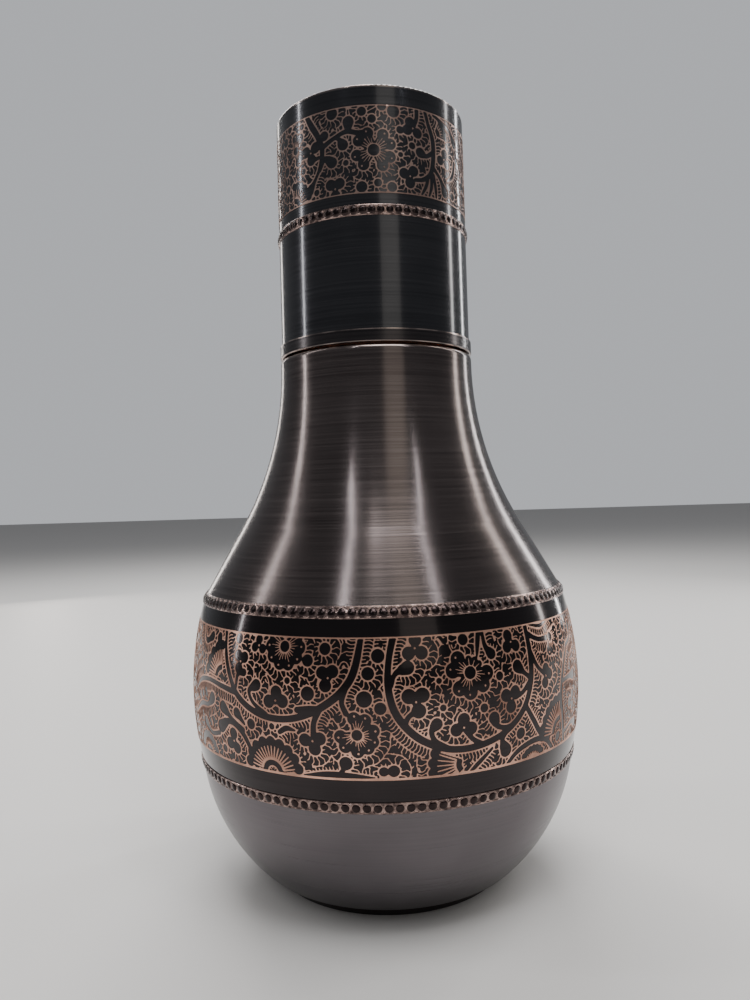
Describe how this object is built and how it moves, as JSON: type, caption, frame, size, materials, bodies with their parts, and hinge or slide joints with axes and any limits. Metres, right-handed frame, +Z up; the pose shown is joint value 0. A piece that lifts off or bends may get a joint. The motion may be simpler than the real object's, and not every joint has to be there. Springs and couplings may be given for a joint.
{
  "type": "water jug with tumbler",
  "caption": "Round-bellied metal water jug on a foot ring, beaded seams and an etched floral band, with a drinking tumbler stored upside down over its neck.",
  "frame": {"origin": "centre of the circle that the foot ring stands on", "axes": "+Z up along the jug's own axis; the jug is round, so X and Y are free"},
  "size_m": [0.126, 0.126, 0.2446],
  "materials": {
    "tumbler_black": "blackened copper under glossy lacquer, etched copper floral band",
    "shoulder_brushed": "blackened copper, satin, brushed round",
    "belly_etched": "blackened copper, glossy, etched copper floral band",
    "bowl_satin": "blackened copper, smooth satin",
    "bead_trim": "blackened copper beads rubbed bright between them",
    "foot_dark": "blackened copper, satin",
    "bare_copper": "plain copper, lightly tarnished"
  },
  "bodies": {
    "jug": {"foot_ring": "foot_dark", "base_disc": "bare_copper", "lower_bowl": "bowl_satin", "belly_shell": "belly_etched", "shoulder_shell": "shoulder_brushed", "neck_collar": "bare_copper", "lower_bead_ring": "bead_trim", "upper_bead_ring": "bead_trim"},
    "tumbler": {"tumbler_wall": "tumbler_black", "tumbler_base": "tumbler_black", "tumbler_rim_band": "tumbler_black", "tumbler_bead_ring": "bead_trim"}
  },
  "joints": [
    {"name": "tumbler_lift", "type": "slide", "parent": "jug", "child": "tumbler", "axis": [0, 0, 1], "range_m": [0, 0.08]}
  ]
}
